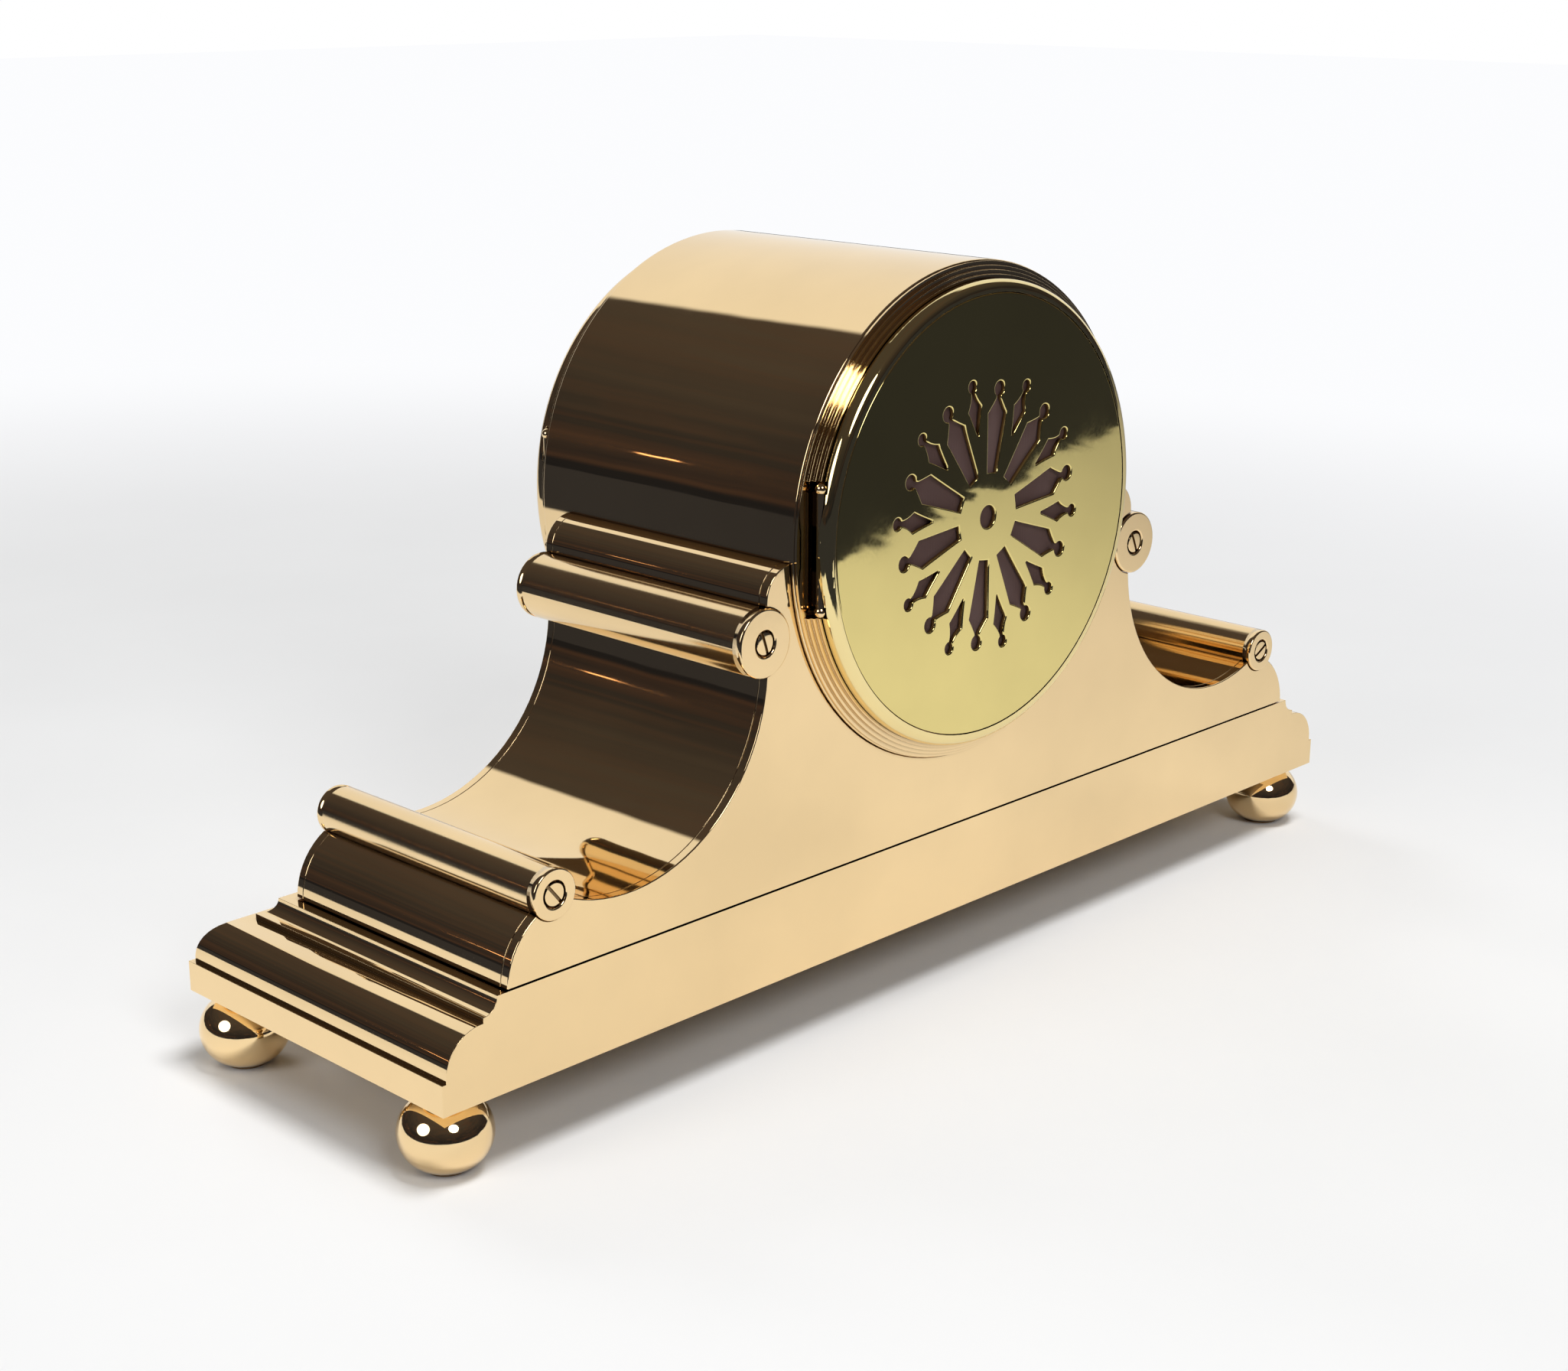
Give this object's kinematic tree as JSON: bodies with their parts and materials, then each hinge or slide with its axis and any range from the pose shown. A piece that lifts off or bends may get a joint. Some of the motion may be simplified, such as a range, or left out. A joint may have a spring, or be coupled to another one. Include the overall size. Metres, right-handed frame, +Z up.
{
  "type": "tambour mantel clock",
  "caption": "Brass tambour mantel clock on bun feet, with a round drum, sweeping shoulders, tie rods, a pierced hinged rear door and a hinged glazed bezel.",
  "frame": {"origin": "middle of the footprint, on the surface that the feet stand on", "axes": "+Z up, +X along the base's length, dial towards -Y, rear door towards +Y"},
  "size_m": [0.405, 0.1266, 0.2215],
  "materials": {
    "case_brass": "polished, slightly warm",
    "fret_brass": "satin",
    "cloth": "thin woven cloth",
    "glass": "clear",
    "dial": "matt cream",
    "black_paint": "matt",
    "blued_steel": "blued",
    "steel": "bright",
    "spring_steel": "dark",
    "bell_metal": "plated",
    "movement_brass": "brushed"
  },
  "bodies": {
    "case": {"base_moulding": "case_brass", "base_plate": "case_brass", "feet": "case_brass", "base_screws": "steel", "front_plate": "case_brass", "rear_plate": "case_brass", "end_covers": "case_brass", "sweep_left": "case_brass", "sweep_right": "case_brass", "shoulders": "case_brass", "case_floor": "case_brass", "tie_rods": "case_brass", "rod_caps": "case_brass", "rod_screws": "case_brass", "drum_shell": "case_brass", "rear_ring": "case_brass", "front_ring": "case_brass", "hinge_leaves": "case_brass", "hinge_pins": "case_brass", "dial_plate": "dial", "dial_numerals": "black_paint", "movement_front_plate": "movement_brass", "movement_rear_plate": "movement_brass", "pillars": "movement_brass", "movement_straps": "movement_brass", "movement_screws": "steel", "platform": "movement_brass", "bell_post": "movement_brass", "bell": "bell_metal"},
    "rear_door": {"rear_door_rim": "case_brass", "fret_plate": "fret_brass", "sound_cloth": "cloth", "cloth_ring": "case_brass"},
    "front_door": {"front_bezel": "case_brass", "bezel_glass": "glass", "glass_ring": "case_brass"},
    "minute": {"centre_wheel": "movement_brass", "cannon_pinion": "steel", "minute_hand": "blued_steel"},
    "hour": {"hour_wheel": "movement_brass", "hour_hand": "blued_steel"},
    "minute_wheel": {"minute_wheel": "movement_brass"},
    "second": {"second_wheel": "movement_brass"},
    "third": {"third_wheel": "movement_brass"},
    "fourth": {"fourth_wheel": "movement_brass"},
    "escape": {"escape_wheel": "movement_brass"},
    "pallet": {"pallet_lever": "steel"},
    "balance": {"balance_wheel": "movement_brass", "hairspring": "spring_steel"},
    "time_barrel": {"time_barrel": "movement_brass", "time_mainspring": "spring_steel"},
    "time_arbor": {"time_arbor": "steel"},
    "strike_barrel": {"strike_barrel": "movement_brass", "strike_mainspring": "spring_steel"},
    "strike_arbor": {"strike_arbor": "steel"},
    "strike_wheel": {"strike_wheel": "movement_brass"},
    "fly": {"fly": "movement_brass"},
    "hammer": {"hammer": "movement_brass"},
    "time_click": {"time_click": "steel"},
    "strike_click": {"strike_click": "steel"}
  },
  "joints": [
    {"name": "rear_door_hinge", "type": "hinge", "parent": "case", "child": "rear_door", "pos_m": [0.0672, 0.05935, 0.14815], "axis": [0, 0, -1], "range_deg": [0, 95]},
    {"name": "front_door_hinge", "type": "hinge", "parent": "case", "child": "front_door", "pos_m": [0.0682, -0.05365, 0.14815], "axis": [0, 0, 1], "range_deg": [0, 95]},
    {"name": "minute_turn", "type": "hinge", "parent": "case", "child": "minute", "pos_m": [0, -0.0296, 0.1475], "axis": [0, 1, 0], "continuous": true},
    {"name": "hour_turn", "type": "hinge", "parent": "case", "child": "hour", "pos_m": [0, -0.0466, 0.1475], "axis": [0, 1, 0], "continuous": true},
    {"name": "minute_wheel_turn", "type": "hinge", "parent": "case", "child": "minute_wheel", "pos_m": [0, -0.0416, 0.1355], "axis": [0, 1, 0], "continuous": true},
    {"name": "second_turn", "type": "hinge", "parent": "case", "child": "second", "pos_m": [0.01416, -0.0116, 0.1544], "axis": [0, 1, 0], "continuous": true},
    {"name": "time_barrel_turn", "type": "hinge", "parent": "case", "child": "time_barrel", "pos_m": [0.024, -0.0156, 0.1335], "axis": [0, 1, 0], "continuous": true},
    {"name": "third_turn", "type": "hinge", "parent": "case", "child": "third", "pos_m": [-0.00548, -0.0076, 0.16178], "axis": [0, 1, 0], "continuous": true},
    {"name": "fourth_turn", "type": "hinge", "parent": "case", "child": "fourth", "pos_m": [0.001, -0.0026, 0.17301], "axis": [0, 1, 0], "continuous": true},
    {"name": "escape_turn", "type": "hinge", "parent": "case", "child": "escape", "pos_m": [0.01288, 0.0013, 0.17301], "axis": [0, 1, 0], "continuous": true},
    {"name": "pallet_rock", "type": "hinge", "parent": "case", "child": "pallet", "pos_m": [0.01968, 0.0013, 0.17301], "axis": [0, 1, 0], "range_deg": [-5, 5]},
    {"name": "balance_swing", "type": "hinge", "parent": "case", "child": "balance", "pos_m": [0.02808, 0.0089, 0.17301], "axis": [0, 1, 0], "range_deg": [-135, 135], "stiffness_Nm_per_rad": 0.000002},
    {"name": "time_winding", "type": "hinge", "parent": "case", "child": "time_arbor", "pos_m": [0.024, -0.0406, 0.1335], "axis": [0, 1, 0], "continuous": true},
    {"name": "strike_wheel_turn", "type": "hinge", "parent": "case", "child": "strike_wheel", "pos_m": [-0.01802, -0.0116, 0.15581], "axis": [0, 1, 0], "continuous": true},
    {"name": "strike_barrel_turn", "type": "hinge", "parent": "case", "child": "strike_barrel", "pos_m": [-0.024, -0.0156, 0.1335], "axis": [0, 1, 0], "continuous": true},
    {"name": "fly_turn", "type": "hinge", "parent": "case", "child": "fly", "pos_m": [-0.02764, -0.0266, 0.16543], "axis": [0, 1, 0], "continuous": true},
    {"name": "strike_winding", "type": "hinge", "parent": "case", "child": "strike_arbor", "pos_m": [-0.024, -0.0406, 0.1335], "axis": [0, 1, 0], "continuous": true},
    {"name": "hammer_lift", "type": "hinge", "parent": "case", "child": "hammer", "pos_m": [-0.038, 0.0172, 0.1715], "axis": [0, 1, 0], "range_deg": [0, 20], "stiffness_Nm_per_rad": 0.01, "springref_deg": -11.46},
    {"name": "time_click_lift", "type": "hinge", "parent": "case", "child": "time_click", "pos_m": [0.03184, -0.0406, 0.12415], "axis": [0, 1, 0], "range_deg": [0, 12], "stiffness_Nm_per_rad": 0.0002, "springref_deg": -11.46},
    {"name": "strike_click_lift", "type": "hinge", "parent": "case", "child": "strike_click", "pos_m": [-0.03184, -0.0406, 0.12415], "axis": [0, -1, 0], "range_deg": [0, 12], "stiffness_Nm_per_rad": 0.0002, "springref_deg": -11.46}
  ],
  "couplings": [
    {"joint": "hour_turn", "follows": "minute_turn", "ratio": 0.083333},
    {"joint": "minute_wheel_turn", "follows": "minute_turn", "ratio": -0.33333},
    {"joint": "second_turn", "follows": "minute_turn", "ratio": -0.16667},
    {"joint": "time_barrel_turn", "follows": "minute_turn", "ratio": 0.027778},
    {"joint": "third_turn", "follows": "minute_turn", "ratio": -7.5},
    {"joint": "fourth_turn", "follows": "minute_turn", "ratio": 60},
    {"joint": "escape_turn", "follows": "minute_turn", "ratio": -600},
    {"joint": "strike_barrel_turn", "follows": "strike_wheel_turn", "ratio": -0.16667},
    {"joint": "fly_turn", "follows": "strike_wheel_turn", "ratio": -7.5}
  ]
}
